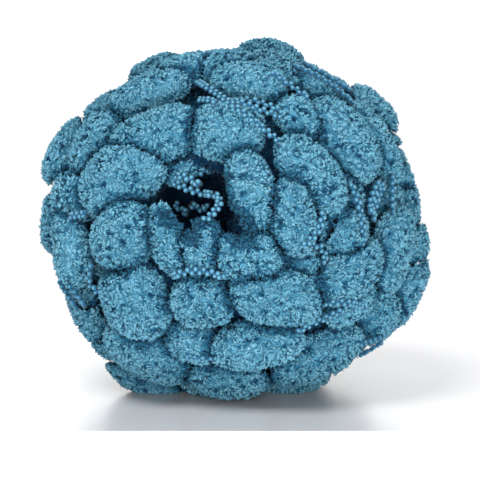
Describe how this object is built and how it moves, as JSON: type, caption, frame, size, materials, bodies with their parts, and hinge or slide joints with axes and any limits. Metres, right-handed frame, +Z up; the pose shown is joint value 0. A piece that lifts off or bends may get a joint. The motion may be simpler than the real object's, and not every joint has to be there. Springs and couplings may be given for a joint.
{
  "type": "ball of pom pom yarn",
  "caption": "Soft ball of wound pom pom yarn: plump plush puffs on a thin twisted thread, with a pull hole in front and a flat spot to rest on.",
  "frame": {"origin": "centre of the flat spot that the ball rests on", "axes": "+Z up, +X to the right of the side with the pull hole, which looks along -Y"},
  "size_m": [0.1948, 0.1856, 0.174],
  "materials": {
    "plush": "matte, deep blue plush pile on a twisted thread of the same dye"
  },
  "bodies": {
    "root": {"yarn_ball": "plush"}
  },
  "joints": []
}
